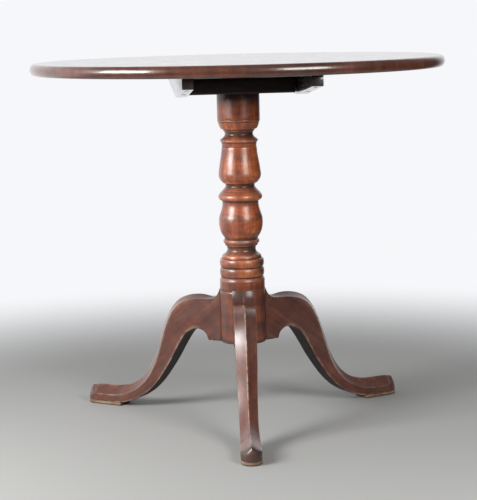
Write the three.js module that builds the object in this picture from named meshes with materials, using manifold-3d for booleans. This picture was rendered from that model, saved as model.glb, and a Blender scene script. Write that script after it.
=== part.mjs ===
// Tilt top table: a round top on two bearers that hinges on a block at the head of a turned pillar,
// which stands on three cabriole legs.
// Millimetres, +Z up. The origin is on the floor, on the pillar's axis. The front leg and the hinge are at -Y.
import * as THREE from 'three';
import { mergeVertices } from 'three/addons/utils/BufferGeometryUtils.js';
import Module from 'manifold-3d';

// ---- Driving dimensions ----
const HEIGHT = 710;
const TOP_RADIUS = 399;
const TOP_THICKNESS = 22;
const GAP = 0.3; // left between pieces that touch

const BLOCK_UNDERSIDE = 646;
const BLOCK_WIDTH = 203;
const BLOCK_REAR = 95;
const PIVOT_Y = -68;
const PIVOT_Z = 666;
const PIVOT_PIN_RADIUS = 8;
const PIVOT_PIN_REACH = 118; // from the centre line to the pin's outer end

const BEARER_SPACING = 227.5; // centre to centre
const BEARER_WIDTH = 20;
const BEARER_HALF_LENGTH = 330;
const BEARER_DEEP_UNDERSIDE = 643;
const BEARER_END_UNDERSIDE = 667;

const HUB_RADIUS = 44.2;
const HUB_BOTTOM = 155;
const HUB_TOP = 281;
const TENON_RADIUS = 22;

const LEG_TURN = THREE.MathUtils.degToRad(-3.1); // the tripod sits slightly round from square with the block
const LEG_COUNT = 3;
const LEG_NAMES = ['front', 'right', 'left'];
const LEG_ROOT_END = 68; // where the flat underside of a leg's root stops
const PAD_THICKNESS = 7;
const PAD_INNER_END = 283;
const TOE_START = 344; // where the foot's straight sides end
const TOE_REACH = 367;

const BOLT_SIZE = 8;
const BOLT_THROW = 12;
const BOLT_HEIGHT = 678; // of the bolt's centre line

// ---- Worked out from them ----
const TOP_UNDERSIDE = HEIGHT - TOP_THICKNESS;
const BLOCK_TOP = TOP_UNDERSIDE - GAP;
const BLOCK_FRONT_RADIUS = BLOCK_TOP - PIVOT_Z; // the block's front edge is rounded about the pivot
const SHOULDER = BLOCK_UNDERSIDE - GAP;
const TENON_TOP = BLOCK_TOP;
const FOOT_UNDERSIDE = PAD_THICKNESS + GAP;
const BEARER_X = BEARER_SPACING / 2;

// ---- Materials ----
function finish(color, roughness, metalness = 0) {
  return new THREE.MeshStandardMaterial({ color, roughness, metalness });
}
const MAHOGANY = finish(0x5c2a1a, 0.3);
const PILLAR_MAHOGANY = finish(0x6d3219, 0.28);
const OAK = finish(0x3c2519, 0.6);
const BRASS = finish(0xa8853f, 0.35, 1);
const IRON = finish(0x2b2826, 0.6, 1);
const LEATHER = finish(0x9a7a58, 0.85);

// ---- Solids ----
const wasm = await Module();
wasm.setup();

function solid(geometry) {
  const bare = geometry.clone();
  bare.deleteAttribute('normal');
  bare.deleteAttribute('uv');
  const merged = mergeVertices(bare, 1e-4);
  return new wasm.Manifold(new wasm.Mesh({
    numProp: 3,
    vertProperties: new Float32Array(merged.attributes.position.array),
    triVerts: new Uint32Array(merged.index.array),
  }));
}

function geometryOf(manifold) {
  const mesh = manifold.getMesh();
  const geometry = new THREE.BufferGeometry();
  geometry.setAttribute('position', new THREE.BufferAttribute(new Float32Array(mesh.vertProperties), 3));
  geometry.setIndex(new THREE.BufferAttribute(new Uint32Array(mesh.triVerts), 1));
  geometry.computeVertexNormals();
  return geometry;
}

// A geometry with others cut out of it.
function cutFrom(geometry, cutters) {
  return geometryOf(cutters.reduce((body, cutter) => body.subtract(solid(cutter)), solid(geometry)));
}

// A turned solid about +Z, from [radius, height] pairs that run upwards.
function turned(profile, segments = 32) {
  const first = profile[0];
  const last = profile[profile.length - 1];
  const closed = [[0, first[1]], ...profile, [0, last[1]]];
  const points = closed.map(([radius, height]) => new THREE.Vector2(radius, height));
  return new THREE.LatheGeometry(points, segments).rotateX(Math.PI / 2);
}

function cylinder(radius, bottom, top, segments = 24) {
  return turned([[radius, bottom], [radius, top]], segments);
}

function box(low, high) {
  const size = high.map((value, i) => value - low[i]);
  const middle = high.map((value, i) => (value + low[i]) / 2);
  return new THREE.BoxGeometry(...size).translate(...middle);
}

// An outline in Y and Z, extruded along X between two places.
function extrudedAlongX(shape, from, to) {
  const geometry = new THREE.ExtrudeGeometry(shape, { depth: to - from, bevelEnabled: false, curveSegments: 8 });
  geometry.rotateX(Math.PI / 2).rotateZ(Math.PI / 2);
  return geometry.translate(from, 0, 0);
}

// A solid through rings of points, closed at both ends.
function lofted(rings) {
  const count = rings[0].length;
  const positions = [];
  const index = [];
  rings.flat().forEach((point) => positions.push(point.x, point.y, point.z));
  for (let ring = 0; ring + 1 < rings.length; ring += 1) {
    for (let i = 0; i < count; i += 1) {
      const a = ring * count + i;
      const b = ring * count + ((i + 1) % count);
      index.push(a, b + count, b, a, a + count, b + count);
    }
  }
  const lastRing = (rings.length - 1) * count;
  for (let i = 1; i + 1 < count; i += 1) {
    index.push(0, i, i + 1);
    index.push(lastRing, lastRing + i + 1, lastRing + i);
  }
  const geometry = new THREE.BufferGeometry();
  geometry.setAttribute('position', new THREE.Float32BufferAttribute(positions, 3));
  geometry.setIndex(index);
  return geometry;
}

// A countersunk wood screw that points up, with its head's face at the given height.
function woodScrew(headRadius, length, grow = 0) {
  const shank = headRadius * 0.5 + grow;
  const head = headRadius + grow;
  return turned([
    [head, -grow], [head, 0.6 + grow], [shank, headRadius * 0.6 + 0.6 + grow],
    [shank, length * 0.75], [shank * 0.35, length + grow],
  ], 8);
}

const table = new THREE.Group();

function add(name, geometry, material, parent = table) {
  const mesh = new THREE.Mesh(geometry, material);
  mesh.name = name;
  parent.add(mesh);
  return mesh;
}

// ---- Legs ----
// Each station pairs a point of the leg's upper outline with one of its lower outline, as [reach, height],
// and gives half the leg's thickness there and how far its ridge stands above the upper outline.
const ROOT_STATIONS = [
  { upper: [38, 264], lower: [38, HUB_BOTTOM], half: 21, ridge: 0.4 },
  { upper: [43, 252.5], lower: [43, HUB_BOTTOM], half: 21, ridge: 0.4 },
  { upper: [48.5, 244.8], lower: [48.5, HUB_BOTTOM], half: 21, ridge: 0.4 },
  { upper: [57, 239.2], lower: [57, HUB_BOTTOM], half: 21, ridge: 0.6 },
];
const LEG_STATIONS = [
  { upper: [68, 237.5], lower: [LEG_ROOT_END, HUB_BOTTOM], half: 21, ridge: 2 },
  { upper: [84, 236.7], lower: [72, 164.5], half: 21, ridge: 6.5 },
  { upper: [104, 234.4], lower: [80, 172.3], half: 21, ridge: 9 },
  { upper: [122, 229.4], lower: [90, 176], half: 21, ridge: 10.5 },
  { upper: [138, 220.6], lower: [101, 175.4], half: 21, ridge: 12 },
  { upper: [151, 206.5], lower: [111, 170.6], half: 21, ridge: 13 },
  { upper: [162, 187.5], lower: [120, 165], half: 20.8, ridge: 13.5 },
  { upper: [171, 165], lower: [131, 150.5], half: 20.5, ridge: 14.5 },
  { upper: [179.5, 140], lower: [144.5, 129], half: 20, ridge: 15 },
  { upper: [188, 115.5], lower: [158, 106], half: 19.2, ridge: 14.5 },
  { upper: [198, 92], lower: [175.5, 80.5], half: 18.4, ridge: 15 },
  { upper: [213, 67.5], lower: [195, 55.5], half: 17.9, ridge: 15 },
  { upper: [231, 48.5], lower: [220, 32.5], half: 17.5, ridge: 15 },
  { upper: [252, 34.5], lower: [246, 17.5], half: 17.8, ridge: 15.5 },
  { upper: [274, 26], lower: [270, 9.5], half: 18.6, ridge: 17 },
];
const FOOT_STATIONS = [
  { upper: [292, 22.5], lower: [291, FOOT_UNDERSIDE], half: 19.2, ridge: 17.5 },
  { upper: [318, 21.3], lower: [318, FOOT_UNDERSIDE], half: 19.5, ridge: 18.2 },
  { upper: [TOE_START, 22], lower: [TOE_START, FOOT_UNDERSIDE], half: 19.3, ridge: 17.5 },
  { upper: [353, 24], lower: [353, FOOT_UNDERSIDE], half: 17.6, ridge: 12.8 },
  { upper: [360, 25], lower: [360, FOOT_UNDERSIDE], half: 13.8, ridge: 8 },
  { upper: [364.5, 24], lower: [364.5, FOOT_UNDERSIDE], half: 8.5, ridge: 3.5 },
  { upper: [TOE_REACH, 18], lower: [TOE_REACH, FOOT_UNDERSIDE], half: 3, ridge: 1 },
];

// Two steps to a station along the curved stretch, on smooth curves through both outlines.
function smoothStations(stations, steps = 2) {
  const curve = (pick) => new THREE.CatmullRomCurve3(stations.map(pick), false, 'centripetal');
  const upper = curve((s) => new THREE.Vector3(s.upper[0], s.upper[1], s.ridge));
  const lower = curve((s) => new THREE.Vector3(s.lower[0], s.lower[1], s.half));
  const count = (stations.length - 1) * steps;
  return Array.from({ length: count + 1 }, (_, i) => {
    const high = upper.getPoint(i / count);
    const low = lower.getPoint(i / count);
    return { upper: [high.x, high.y], lower: [low.x, low.y], half: low.z, ridge: high.z };
  });
}

// The leg's cross-section: flat below, upright sides and a ridged upper face. The leg reaches along +X.
function legRing({ upper, lower, half, ridge }) {
  const depth = Math.hypot(upper[0] - lower[0], upper[1] - lower[1]);
  const along = [(upper[0] - lower[0]) / depth, (upper[1] - lower[1]) / depth];
  const arris = Math.min(1.5, half / 3);
  const outline = [
    [arris - half, 0], [-half, arris], [-half, depth], [0, depth + ridge],
    [half, depth], [half, arris], [half - arris, 0],
  ];
  return outline.map(([side, rise]) => (
    new THREE.Vector3(lower[0] + along[0] * rise, side, lower[1] + along[1] * rise)
  ));
}

// The dovetail on a leg's root, which slides up into the pillar; grow widens it into its socket.
const DOVETAIL = { inner: 21, outer: 48, innerHalf: 12, outerHalf: 8.5, top: 240 };

function dovetail(grow = 0) {
  const { inner, outer, innerHalf, outerHalf, top } = DOVETAIL;
  const shape = new THREE.Shape([
    new THREE.Vector2(inner - grow, -innerHalf - grow),
    new THREE.Vector2(outer, -outerHalf - grow),
    new THREE.Vector2(outer, outerHalf + grow),
    new THREE.Vector2(inner - grow, innerHalf + grow),
  ]);
  const bottom = HUB_BOTTOM - (grow > 0 ? 1 : 0);
  const geometry = new THREE.ExtrudeGeometry(shape, { depth: top + grow - bottom, bevelEnabled: false });
  return geometry.translate(0, 0, bottom);
}

const BRACE_THICKNESS = 2.4;
const BRACE_TOP = HUB_BOTTOM - GAP;
const BRACE_BOTTOM = BRACE_TOP - BRACE_THICKNESS;
const BRACE_SCREW = { reach: 56, headRadius: 4, length: 24 };

function braceScrew(grow = 0) {
  return woodScrew(BRACE_SCREW.headRadius, BRACE_SCREW.length, grow).translate(0, 0, BRACE_BOTTOM);
}

function legGeometry() {
  const stations = [...ROOT_STATIONS, ...smoothStations(LEG_STATIONS), ...FOOT_STATIONS];
  const shaft = solid(lofted(stations.map(legRing)));
  const shouldered = shaft.subtract(solid(cylinder(HUB_RADIUS + GAP + 0.1, 100, 300, 72)));
  const withTongue = shouldered.add(solid(dovetail()));
  return geometryOf(withTongue.subtract(solid(braceScrew(GAP).translate(BRACE_SCREW.reach, 0, 0))));
}

// The sole's pad follows the toe in plan: straight sides, then a half ellipse to its tip.
function footPad() {
  const half = 19.3;
  const shape = new THREE.Shape();
  shape.moveTo(PAD_INNER_END, -half);
  shape.lineTo(TOE_START, -half);
  shape.absellipse(TOE_START, 0, TOE_REACH - TOE_START, half, -Math.PI / 2, Math.PI / 2, false);
  shape.lineTo(PAD_INNER_END, half);
  return new THREE.ExtrudeGeometry(shape, { depth: PAD_THICKNESS, bevelEnabled: false, curveSegments: 10 });
}

function legAngle(i) {
  return -Math.PI / 2 + LEG_TURN + (i * 2 * Math.PI) / LEG_COUNT;
}

LEG_NAMES.forEach((side, i) => {
  const turn = new THREE.Group();
  turn.rotation.z = legAngle(i);
  table.add(turn);
  add(`leg_${side}`, legGeometry(), MAHOGANY, turn);
  add(`foot_pad_${side}`, footPad(), LEATHER, turn);
  const screw = add(`brace_screw_${side}`, braceScrew(), IRON, turn);
  screw.position.x = BRACE_SCREW.reach;
});

// ---- Iron brace under the hub: a plate with an arm along each leg's root ----
function braceGeometry() {
  const arm = { reach: 65, half: 10 };
  let plate = solid(cylinder(30, BRACE_BOTTOM, BRACE_TOP));
  const holes = [solid(braceScrew(GAP))];
  LEG_NAMES.forEach((_, i) => {
    const strip = box([0, -arm.half, BRACE_BOTTOM], [arm.reach, arm.half, BRACE_TOP]).rotateZ(legAngle(i));
    plate = plate.add(solid(strip));
    holes.push(solid(braceScrew(GAP).translate(BRACE_SCREW.reach, 0, 0).rotateZ(legAngle(i))));
  });
  return geometryOf(holes.reduce((body, hole) => body.subtract(hole), plate));
}
add('hub_brace', braceGeometry(), IRON);
add('brace_screw_hub', braceScrew(), IRON);

// ---- Pillar ----
// Half-round bead between two heights, standing out from one radius to another.
function bead(radius, bulge, bottom, top, steps = 4) {
  return Array.from({ length: steps + 1 }, (_, i) => {
    const turn = (Math.PI * i) / steps;
    return [radius + bulge * Math.sin(turn), (bottom + top) / 2 - ((top - bottom) / 2) * Math.cos(turn)];
  });
}

// A smooth stretch through [radius, height] points.
function swept(points, steps) {
  const curve = new THREE.SplineCurve(points.map(([radius, height]) => new THREE.Vector2(radius, height)));
  return curve.getPoints(steps).map((point) => [point.x, point.y]);
}

const PILLAR_PROFILE = [
  [HUB_RADIUS, HUB_BOTTOM], [HUB_RADIUS, HUB_TOP], [42, 284.5],
  ...bead(41, 2.6, 286, 303.5),
  ...bead(40.8, 2.7, 305, 321),
  [38.8, 323.5], [38, 327.5],
  [32, 331.5], [28.2, 336], [27.8, 341], [29.5, 345.5],
  [32.6, 348.5],
  ...bead(33, 2.4, 351, 359, 3),
  ...swept([[32.6, 361], [36.9, 368], [41, 377], [43, 392], [41.9, 403.6], [38.4, 415], [35.4, 427], [36, 434]], 9),
  ...bead(38, 5, 435, 449, 4),
  ...swept([[35.4, 453.5], [31.5, 458.8], [28.2, 463.5], [30, 468]], 4),
  ...swept([[34.6, 470.8], [39.6, 477.5], [41.4, 485], [39.8, 500], [36.5, 519], [33.6, 543]], 7),
  [34.8, 549], [37.1, 552.6], [31.5, 558.5],
  [27.4, 565], [30.4, 571.5],
  [35.8, 575.6], [38.6, 582], [40.6, 589],
  [41.6, 591], [41.6, SHOULDER],
  [TENON_RADIUS, SHOULDER], [TENON_RADIUS, TENON_TOP],
];

// A thin wedge spreads the tenon in the block; its kerf is the same shape with room round it.
const WEDGE = { depth: 28, topHalf: 1.6, bottomHalf: 0.8, reach: 20 };

function wedge(grow = 0) {
  const bottom = TENON_TOP - WEDGE.depth - grow;
  const top = TENON_TOP + (grow > 0 ? 1 : 0);
  const shape = new THREE.Shape([
    new THREE.Vector2(-WEDGE.bottomHalf - grow, bottom),
    new THREE.Vector2(WEDGE.bottomHalf + grow, bottom),
    new THREE.Vector2(WEDGE.topHalf + grow, top),
    new THREE.Vector2(-WEDGE.topHalf - grow, top),
  ]);
  const reach = WEDGE.reach + (grow > 0 ? TENON_RADIUS : 0);
  return extrudedAlongX(shape, -reach, reach);
}

function pillarGeometry() {
  const sockets = LEG_NAMES.map((_, i) => dovetail(GAP).rotateZ(legAngle(i)));
  return cutFrom(turned(PILLAR_PROFILE), [...sockets, wedge(GAP), braceScrew(GAP)]);
}
add('pillar', pillarGeometry(), PILLAR_MAHOGANY);
add('tenon_wedge', wedge(), OAK);

// ---- Tilt block ----
const KEEPER = { half: 17, height: 18, thickness: 1.6, window: 10, depth: 13, screwReach: 12 };
const KEEPER_FRONT = BLOCK_REAR + GAP;
const KEEPER_SCREW = { headRadius: 2.4, length: 12 };

// Keeper screws point forwards, into the block.
function keeperScrew(side, grow = 0) {
  const screw = woodScrew(KEEPER_SCREW.headRadius, KEEPER_SCREW.length, grow).rotateX(Math.PI / 2);
  return screw.translate(side * KEEPER.screwReach, KEEPER_FRONT + KEEPER.thickness, BOLT_HEIGHT);
}

function keeperWindow(fromY, toY) {
  const half = KEEPER.window / 2;
  return box([-half, fromY, BOLT_HEIGHT - half], [half, toY, BOLT_HEIGHT + half]);
}

function pivotPin(side, grow = 0) {
  const length = 42;
  const pin = cylinder(PIVOT_PIN_RADIUS + grow, -grow, length + grow, 20).rotateY(side * Math.PI / 2);
  return pin.translate(side * (PIVOT_PIN_REACH - length), PIVOT_Y, PIVOT_Z);
}

function blockGeometry() {
  const arris = 3;
  const front = PIVOT_Y - BLOCK_FRONT_RADIUS;
  const shape = new THREE.Shape();
  shape.moveTo(front + arris, BLOCK_UNDERSIDE);
  shape.lineTo(BLOCK_REAR - arris, BLOCK_UNDERSIDE);
  shape.lineTo(BLOCK_REAR, BLOCK_UNDERSIDE + arris);
  shape.lineTo(BLOCK_REAR, BLOCK_TOP);
  shape.lineTo(PIVOT_Y, BLOCK_TOP);
  shape.absarc(PIVOT_Y, PIVOT_Z, BLOCK_FRONT_RADIUS, Math.PI / 2, Math.PI, false);
  shape.lineTo(front, BLOCK_UNDERSIDE + arris);
  return cutFrom(extrudedAlongX(shape, -BLOCK_WIDTH / 2, BLOCK_WIDTH / 2), [
    cylinder(TENON_RADIUS + GAP, BLOCK_UNDERSIDE - 1, BLOCK_TOP + 1, 32),
    pivotPin(-1, GAP), pivotPin(1, GAP),
    keeperWindow(BLOCK_REAR - KEEPER.depth, BLOCK_REAR + 1),
    keeperScrew(-1, GAP), keeperScrew(1, GAP),
  ]);
}
add('tilt_block', blockGeometry(), MAHOGANY);
add('pivot_pin_left', pivotPin(-1), OAK);
add('pivot_pin_right', pivotPin(1), OAK);

const keeperPlate = box(
  [-KEEPER.half, KEEPER_FRONT, BOLT_HEIGHT - KEEPER.height / 2],
  [KEEPER.half, KEEPER_FRONT + KEEPER.thickness, BOLT_HEIGHT + KEEPER.height / 2],
);
add('keeper_plate', cutFrom(keeperPlate, [
  keeperWindow(KEEPER_FRONT - 1, KEEPER_FRONT + KEEPER.thickness + 1),
  keeperScrew(-1, GAP), keeperScrew(1, GAP),
]), BRASS);
add('keeper_screw_left', keeperScrew(-1), BRASS);
add('keeper_screw_right', keeperScrew(1), BRASS);

// ---- Bearers and their screws ----
const BEARER_DEEP_FRONT = -95;
const BEARER_DEEP_REAR = -50;
const BEARER_SCREW = { places: [-300, -190, 120, 300], seat: 669, headRadius: 4.4, length: 33 };
const BEARER_TOP = TOP_UNDERSIDE - GAP;

function bearerScrew(x, y, grow = 0) {
  return woodScrew(BEARER_SCREW.headRadius, BEARER_SCREW.length, grow).translate(x, y, BEARER_SCREW.seat);
}

// The underside is deepest at the pivot and tapers to thin, rounded ends.
function bearerGeometry(side) {
  const nose = 4;
  const end = BEARER_HALF_LENGTH;
  const shape = new THREE.Shape();
  shape.moveTo(-end, BEARER_TOP);
  shape.lineTo(-end, BEARER_END_UNDERSIDE + nose);
  shape.quadraticCurveTo(-end, BEARER_END_UNDERSIDE, -end + nose, BEARER_END_UNDERSIDE);
  shape.lineTo(BEARER_DEEP_FRONT, BEARER_DEEP_UNDERSIDE);
  shape.lineTo(BEARER_DEEP_REAR, BEARER_DEEP_UNDERSIDE);
  shape.lineTo(end - nose, BEARER_END_UNDERSIDE);
  shape.quadraticCurveTo(end, BEARER_END_UNDERSIDE, end, BEARER_END_UNDERSIDE + nose);
  shape.lineTo(end, BEARER_TOP);
  const x = side * BEARER_X;
  const bar = extrudedAlongX(shape, x - BEARER_WIDTH / 2, x + BEARER_WIDTH / 2);
  const holes = BEARER_SCREW.places.flatMap((y) => [
    cylinder(BEARER_SCREW.headRadius + GAP, BEARER_DEEP_UNDERSIDE - 1, BEARER_SCREW.seat, 12).translate(x, y, 0),
    bearerScrew(x, y, GAP),
  ]);
  return cutFrom(bar, [pivotPin(side, GAP), ...holes]);
}

const SIDES = [['left', -1], ['right', 1]];
SIDES.forEach(([name, side]) => {
  add(`bearer_${name}`, bearerGeometry(side), MAHOGANY);
  BEARER_SCREW.places.forEach((y, i) => {
    add(`bearer_screw_${name}_${i + 1}`, bearerScrew(side * BEARER_X, y), IRON);
  });
});

// ---- Catch: a brass slide bolt on the underside of the top, behind the block ----
const CATCH = { front: 106, rear: 160, plateHalf: 24, plateThickness: 2.2, caseHalf: 9 };
const CATCH_TOP = TOP_UNDERSIDE - GAP;
const CATCH_SCREW = { headRadius: 2.4, length: 13, inset: 6 };
const BOLT_CLEARANCE = 0.4;
const BOLT_NOSE = 100; // the bolt's front end when it is drawn back
const KNOB = { y: 140, stemRadius: 2, radius: 6, drop: 10 };

const CATCH_SCREWS = [-1, 1].flatMap((side) => [CATCH.front, CATCH.rear].map((end) => ({
  x: side * (CATCH.plateHalf - CATCH_SCREW.inset),
  y: end + (end === CATCH.front ? CATCH_SCREW.inset : -CATCH_SCREW.inset),
})));

function catchScrew({ x, y }, grow = 0) {
  const screw = woodScrew(CATCH_SCREW.headRadius, CATCH_SCREW.length, grow);
  return screw.translate(x, y, CATCH_TOP - CATCH.plateThickness);
}

function catchGeometry() {
  const { front, rear, plateHalf, plateThickness, caseHalf } = CATCH;
  const half = BOLT_SIZE / 2 + BOLT_CLEARANCE;
  const caseBottom = BOLT_HEIGHT - half - 2.5;
  const plate = solid(box([-plateHalf, front, CATCH_TOP - plateThickness], [plateHalf, rear, CATCH_TOP]));
  const casing = plate.add(solid(box([-caseHalf, front, caseBottom], [caseHalf, rear, CATCH_TOP - 1])));
  const channel = box([-half, front - 1, BOLT_HEIGHT - half], [half, rear + 1, BOLT_HEIGHT + half]);
  const slotHalf = KNOB.stemRadius + BOLT_CLEARANCE;
  const slot = box(
    [-slotHalf, KNOB.y - BOLT_THROW - slotHalf, caseBottom - 1],
    [slotHalf, KNOB.y + slotHalf, BOLT_HEIGHT],
  );
  const cutters = [channel, slot, ...CATCH_SCREWS.map((place) => catchScrew(place, GAP))];
  return geometryOf(cutters.reduce((body, cutter) => body.subtract(solid(cutter)), casing));
}
add('catch_case', catchGeometry(), BRASS);
CATCH_SCREWS.forEach((place, i) => add(`catch_screw_${i + 1}`, catchScrew(place), BRASS));

const boltHalf = BOLT_SIZE / 2;
const KNOB_STEM_TOP = BOLT_HEIGHT - 1;
function knobHole(grow = 0) {
  return cylinder(KNOB.stemRadius + grow, BOLT_HEIGHT - 20, KNOB_STEM_TOP + grow, 12).translate(0, KNOB.y, 0);
}
add('catch_bolt', cutFrom(
  box([-boltHalf, BOLT_NOSE, BOLT_HEIGHT - boltHalf], [boltHalf, CATCH.rear - 4, BOLT_HEIGHT + boltHalf]),
  [knobHole(GAP)],
), BRASS);

function knobGeometry() {
  const centre = BOLT_HEIGHT - boltHalf - KNOB.drop;
  const { radius, stemRadius } = KNOB;
  const ball = Array.from({ length: 7 }, (_, i) => {
    const turn = (Math.PI * (i + 0.6)) / 8;
    return [radius * Math.sin(turn), centre - radius * Math.cos(turn)];
  });
  return turned([...ball, [stemRadius, centre + radius * 0.95], [stemRadius, KNOB_STEM_TOP]], 16)
    .translate(0, KNOB.y, 0);
}
add('catch_knob', knobGeometry(), BRASS);

// ---- Top ----
function topGeometry() {
  const edge = TOP_THICKNESS / 2;
  const nosing = Array.from({ length: 7 }, (_, i) => {
    const turn = (Math.PI * i) / 6 - Math.PI / 2;
    return [TOP_RADIUS - edge * 0.8 * (1 - Math.cos(turn)), TOP_UNDERSIDE + edge * (1 + Math.sin(turn))];
  });
  const holes = SIDES.flatMap(([, side]) => (
    BEARER_SCREW.places.map((y) => bearerScrew(side * BEARER_X, y, GAP))
  ));
  const catchHoles = CATCH_SCREWS.map((place) => catchScrew(place, GAP));
  return cutFrom(turned(nosing, 64), [...holes, ...catchHoles]);
}
add('table_top', topGeometry(), MAHOGANY);

export default table;
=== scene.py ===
import math
import random

import bmesh
import bpy
import numpy as np
from mathutils import Matrix, Vector


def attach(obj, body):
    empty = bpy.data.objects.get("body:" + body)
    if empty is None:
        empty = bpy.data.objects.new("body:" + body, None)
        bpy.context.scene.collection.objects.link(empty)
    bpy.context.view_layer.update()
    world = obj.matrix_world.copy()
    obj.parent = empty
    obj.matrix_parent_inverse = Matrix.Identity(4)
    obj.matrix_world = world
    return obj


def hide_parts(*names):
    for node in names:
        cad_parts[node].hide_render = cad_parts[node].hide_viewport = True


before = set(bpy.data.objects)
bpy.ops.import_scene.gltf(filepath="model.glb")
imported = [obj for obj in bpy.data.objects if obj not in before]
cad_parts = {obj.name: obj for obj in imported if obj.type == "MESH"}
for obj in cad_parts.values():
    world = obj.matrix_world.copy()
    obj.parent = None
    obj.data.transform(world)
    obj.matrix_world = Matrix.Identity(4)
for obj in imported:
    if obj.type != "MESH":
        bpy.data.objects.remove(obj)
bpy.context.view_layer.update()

# Shapes are written in millimetres, as in the CAD model, and scaled when a mesh is made.
MM = 0.001

TOP_RADIUS = 399.0
TOP_UNDERSIDE = 688.0
TOP_HEIGHT = 710.0
HUB_BOTTOM = 155.0
SHOULDER = 645.7  # the height at which the pillar ends and its tenon begins
TENON_RADIUS = 22.0
TENON_END = 687.5  # the wedge stands just proud of the tenon it spreads
LEG_TURN = math.radians(-3.1)  # of the tripod from square with the block
LEG_SHOULDER = 44.6  # the radius at which a leg meets the hub
LEG_HALF = 21  # half a leg's thickness near the hub
SOLE = 7.3  # the height of a foot's underside
TOE_START = 344.0
TOE_REACH = 367.0
SIDES = ("front", "right", "left")  # the legs, going round from the front


# ---------------------------------------------------------------- materials

class Look:
    """A node material on a Principled shader, built one node at a time."""

    def __init__(self, name):
        self.material = bpy.data.materials.new(name)
        self.material.use_nodes = True
        self.tree = self.material.node_tree
        self.shader = self.tree.nodes["Principled BSDF"]

    def add(self, kind, inputs=None, **settings):
        node = self.tree.nodes.new(kind)
        for key, value in settings.items():
            setattr(node, key, value)
        for socket, value in (inputs or {}).items():
            self.put(node.inputs[socket], value)
        return node

    def put(self, socket, value):
        if isinstance(value, bpy.types.NodeSocket):
            self.tree.links.new(value, socket)
        else:
            socket.default_value = value

    def set(self, **values):
        """Puts values on the shader: Base_Color=..., Roughness=..."""
        for key, value in values.items():
            self.put(self.shader.inputs[key.replace("_", " ")], value)

    def maths(self, operation, a, b, c=0.0, clamp=False):
        node = self.add("ShaderNodeMath", {0: a, 1: b, 2: c}, operation=operation, use_clamp=clamp)
        return node.outputs[0]

    def mix(self, factor, a, b, blend="MIX"):
        node = self.add("ShaderNodeMix", data_type="RGBA", blend_type=blend)
        self.put(node.inputs["Factor"], factor)
        # The colour sockets come after those for numbers and vectors.
        self.put(node.inputs[6], a)
        self.put(node.inputs[7], b)
        return node.outputs[2]

    def span(self, value, from_low, from_high, low=0.0, high=1.0, smooth=False):
        node = self.add("ShaderNodeMapRange", {0: value, 1: from_low, 2: from_high, 3: low, 4: high})
        node.interpolation_type = "SMOOTHSTEP" if smooth else "LINEAR"
        return node.outputs[0]

    def noise(self, coords, scale=1.0, detail=3.0, roughness=0.5, distortion=0.0):
        node = self.add("ShaderNodeTexNoise", {
            "Vector": coords, "Scale": scale, "Detail": detail,
            "Roughness": roughness, "Distortion": distortion,
        })
        return node.outputs["Fac"]

    def stretched(self, coords, scale, shift=(0, 0, 0)):
        node = self.add("ShaderNodeMapping", {"Vector": coords, "Scale": scale, "Location": shift})
        return node.outputs[0]

    def ramp(self, value, stops):
        node = self.add("ShaderNodeValToRGB", {0: value})
        elements = node.color_ramp.elements
        while len(elements) < len(stops):
            elements.new(0.5)
        for element, (place, colour) in zip(elements, stops):
            element.position = place
            element.color = (*colour, 1)
        return node.outputs[0]

    def attribute(self, name):
        return self.add("ShaderNodeAttribute", attribute_name=name).outputs["Fac"]

    def bump(self, height, strength, distance):
        node = self.add("ShaderNodeBump", {"Strength": strength, "Distance": distance, "Height": height})
        self.put(self.shader.inputs["Normal"], node.outputs[0])

    def object_coords(self):
        return self.add("ShaderNodeTexCoord").outputs["Object"]

    def height(self):
        """Metres above the floor."""
        return self.add("ShaderNodeSeparateXYZ", {0: self.object_coords()}).outputs[2]


def rgb(*values):
    return (*values, 1)


LOW_SHADE_HEIGHTS = (0.345, 0.255)  # painted shade darkens the pillar between these heights, going down, in metres


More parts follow.
